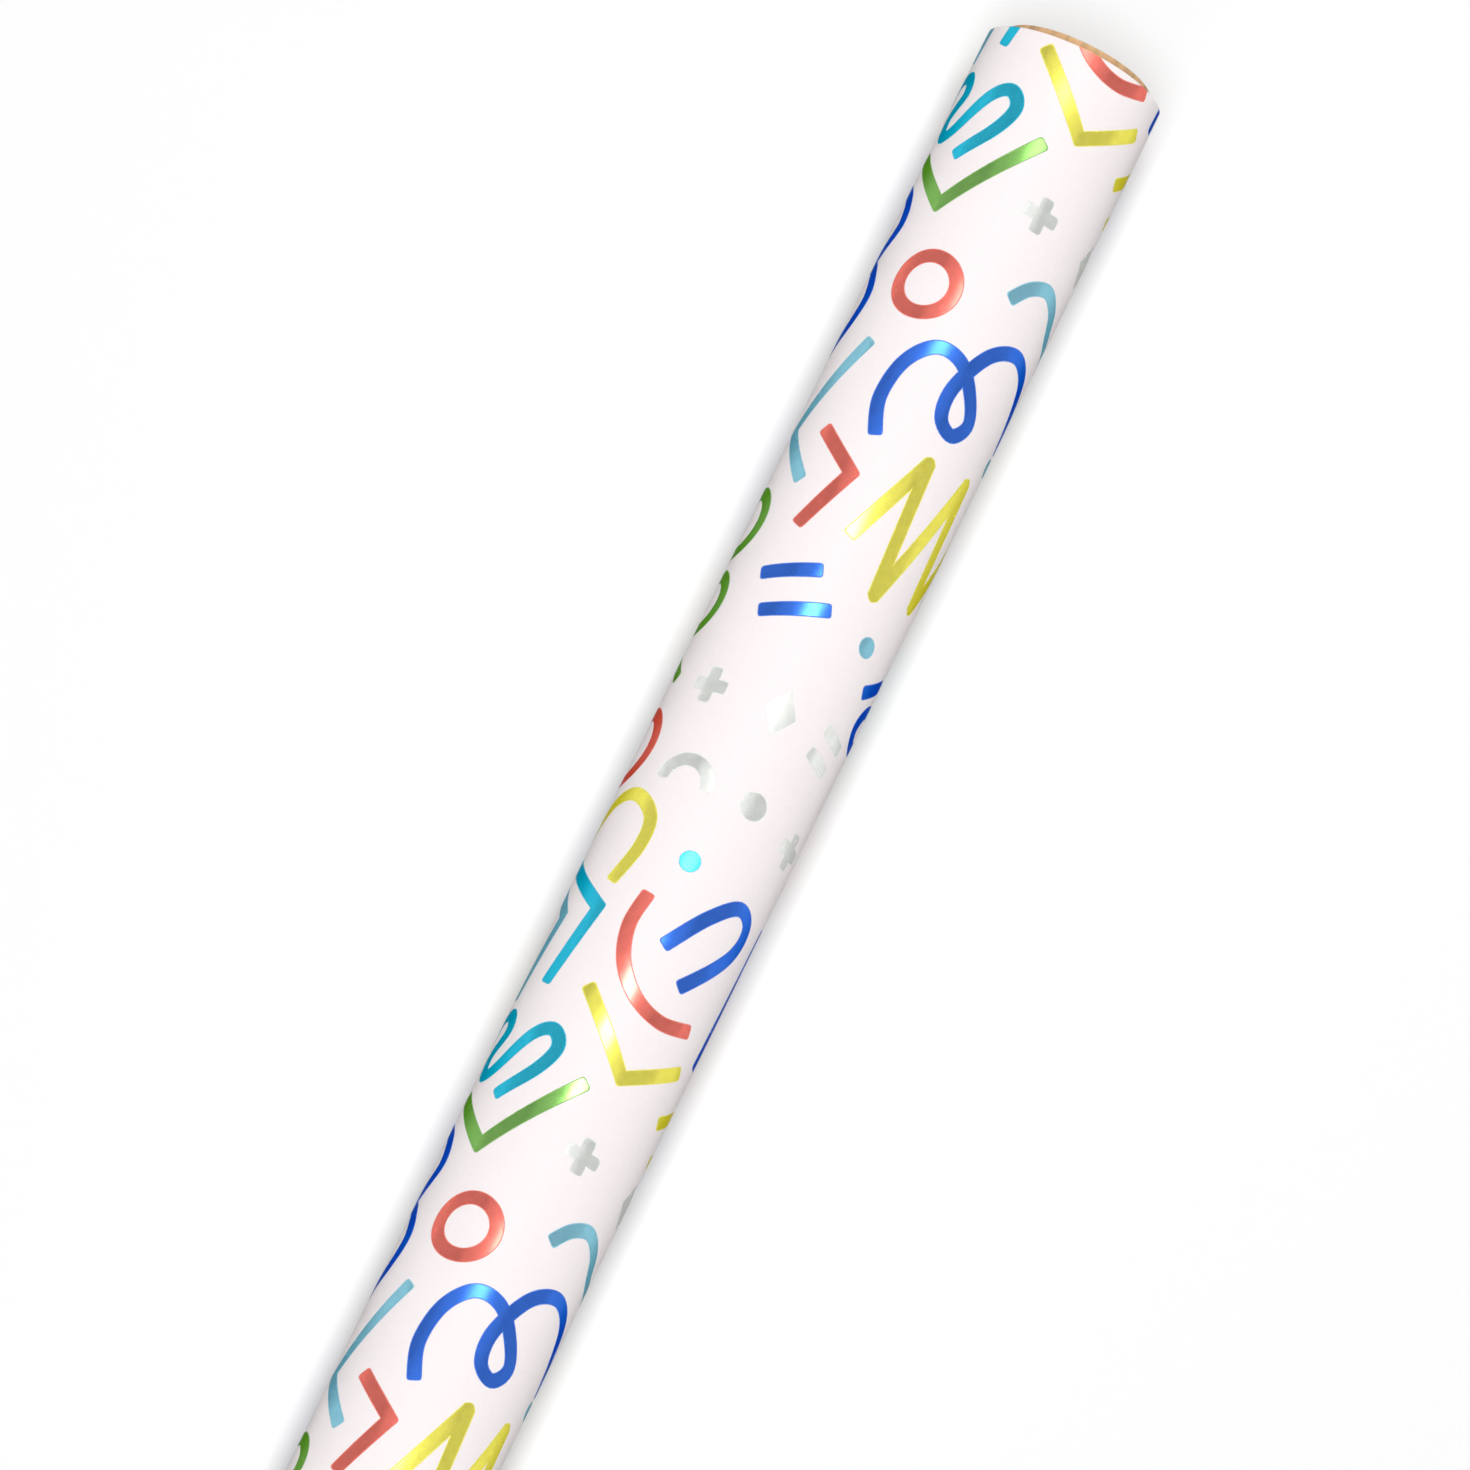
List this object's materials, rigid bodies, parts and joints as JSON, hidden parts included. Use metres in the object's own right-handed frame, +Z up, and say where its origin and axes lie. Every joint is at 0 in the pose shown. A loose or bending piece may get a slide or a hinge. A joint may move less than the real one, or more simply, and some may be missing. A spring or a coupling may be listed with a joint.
{
  "type": "wrapping paper roll",
  "caption": "Gift wrapping paper printed with foil strokes, wound on a cardboard core, with a taped free tail that opens out flat.",
  "frame": {"origin": "on the ground, under the middle of the roll", "axes": "+X along the roll's axis, +Z up, -Y towards the side that carries the sheet's free tail"},
  "size_m": [0.7674, 0.0447, 0.0447],
  "materials": {
    "paper": "satin coated gift wrap",
    "core_board": "raw kraft board",
    "glue": "dried white glue",
    "tape": "clear film tape",
    "foil_blue": "hot stamped foil",
    "foil_turquoise": "hot stamped foil",
    "foil_sky": "hot stamped foil",
    "foil_coral": "hot stamped foil",
    "foil_yellow": "hot stamped foil",
    "foil_green": "hot stamped foil",
    "foil_silver": "hot stamped foil"
  },
  "bodies": {
    "roll": {"core_inner_ply": "core_board", "core_middle_ply": "core_board", "core_outer_ply": "core_board", "pickup_glue_line": "glue", "wound_sheet": "paper"},
    "tail_1": {"tail_strip_1": "paper"},
    "tail_2": {"tail_strip_2": "paper"},
    "tail_3": {"tail_strip_3": "paper"},
    "tail_4": {"tail_strip_4": "paper"},
    "tail_5": {"tail_strip_5": "paper"},
    "tail_6": {"tail_strip_6": "paper"},
    "tail_7": {"tail_strip_7": "paper"},
    "tail_8": {"tail_strip_8": "paper", "tape_tab_left": "tape", "tape_tab_middle": "tape", "tape_tab_right": "tape"}
  },
  "joints": [
    {"name": "tail_unroll", "type": "hinge", "parent": "roll", "child": "tail_1", "pos_m": [0, -0.00157, 0.00005], "axis": [1, 0, 0], "range_deg": [0, 8]},
    {"name": "tail_bend_2", "type": "hinge", "parent": "tail_1", "child": "tail_2", "pos_m": [0, -0.00468, 0.00049], "axis": [1, 0, 0], "range_deg": [0, 8]},
    {"name": "tail_bend_3", "type": "hinge", "parent": "tail_2", "child": "tail_3", "pos_m": [0, -0.0077, 0.00136], "axis": [1, 0, 0], "range_deg": [0, 8]},
    {"name": "tail_bend_4", "type": "hinge", "parent": "tail_3", "child": "tail_4", "pos_m": [0, -0.01056, 0.00263], "axis": [1, 0, 0], "range_deg": [0, 8]},
    {"name": "tail_bend_5", "type": "hinge", "parent": "tail_4", "child": "tail_5", "pos_m": [0, -0.01323, 0.0043], "axis": [1, 0, 0], "range_deg": [0, 8]},
    {"name": "tail_bend_6", "type": "hinge", "parent": "tail_5", "child": "tail_6", "pos_m": [0, -0.01563, 0.00631], "axis": [1, 0, 0], "range_deg": [0, 8]},
    {"name": "tail_bend_7", "type": "hinge", "parent": "tail_6", "child": "tail_7", "pos_m": [0, -0.01773, 0.00865], "axis": [1, 0, 0], "range_deg": [0, 8]},
    {"name": "tail_bend_8", "type": "hinge", "parent": "tail_7", "child": "tail_8", "pos_m": [0, -0.01949, 0.01125], "axis": [1, 0, 0], "range_deg": [0, 8]}
  ],
  "couplings": [
    {"joint": "tail_bend_2", "follows": "tail_unroll", "ratio": 1},
    {"joint": "tail_bend_3", "follows": "tail_unroll", "ratio": 1},
    {"joint": "tail_bend_4", "follows": "tail_unroll", "ratio": 1},
    {"joint": "tail_bend_5", "follows": "tail_unroll", "ratio": 1},
    {"joint": "tail_bend_6", "follows": "tail_unroll", "ratio": 1},
    {"joint": "tail_bend_7", "follows": "tail_unroll", "ratio": 1},
    {"joint": "tail_bend_8", "follows": "tail_unroll", "ratio": 1}
  ]
}
